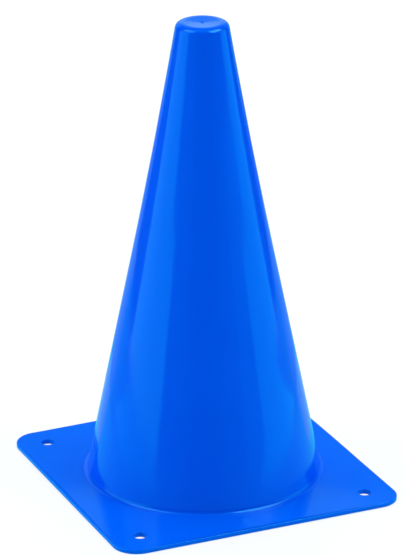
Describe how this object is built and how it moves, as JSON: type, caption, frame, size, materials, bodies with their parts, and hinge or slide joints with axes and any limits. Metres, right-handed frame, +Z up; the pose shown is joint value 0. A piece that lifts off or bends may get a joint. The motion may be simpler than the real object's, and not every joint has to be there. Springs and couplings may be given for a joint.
{
  "type": "sports marker cone",
  "caption": "Hollow plastic marker cone on a square foot plate with corner peg holes; stands on the ground to mark out a pitch or course, and nests in others when stacked.",
  "frame": {"origin": "centre of the underside, on the surface that the cone stands on", "axes": "+Z up along the cone's axis, +X and +Y square to the sides of the foot plate"},
  "size_m": [0.1466, 0.1466, 0.23],
  "materials": {
    "moulded_polyethylene": "blue polyethylene, moulded, with a soft gloss"
  },
  "bodies": {
    "root": {"cone_shell": "moulded_polyethylene", "base_plate": "moulded_polyethylene"}
  },
  "joints": []
}
